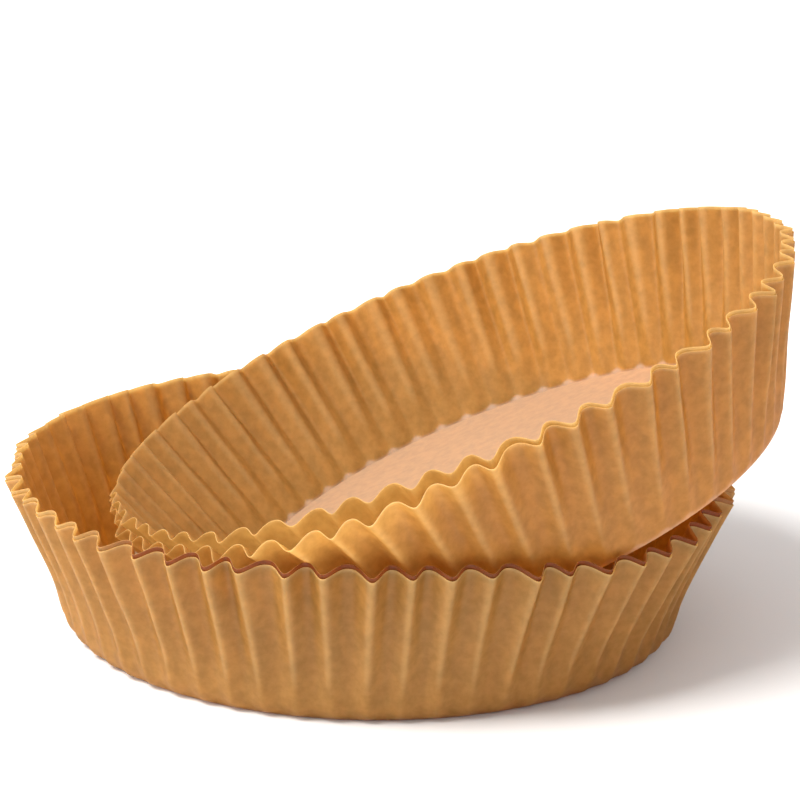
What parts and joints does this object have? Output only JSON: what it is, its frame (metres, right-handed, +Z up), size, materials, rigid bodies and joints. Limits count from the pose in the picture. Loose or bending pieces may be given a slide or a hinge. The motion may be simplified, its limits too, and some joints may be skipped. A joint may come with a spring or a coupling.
{
  "type": "stack of air fryer paper liners",
  "caption": "Stack of round fluted paper liners: a nested pair standing upright, and a second nested pair leaning in it on its rim.",
  "frame": {"origin": "middle of the lowest liner's flat floor, on its underside, at the surface that the stack stands on", "axes": "+Z up; the upper pair is slid and raised towards +X; -Y faces the viewer"},
  "size_m": [0.2126, 0.2014, 0.1107],
  "materials": {
    "brown_paper": "unbleached greaseproof paper, smooth, faint satin, slightly translucent"
  },
  "bodies": {
    "root": {"lower_liner_outer": "brown_paper", "lower_liner_inner": "brown_paper", "upper_liner_outer": "brown_paper", "upper_liner_inner": "brown_paper"}
  },
  "joints": []
}
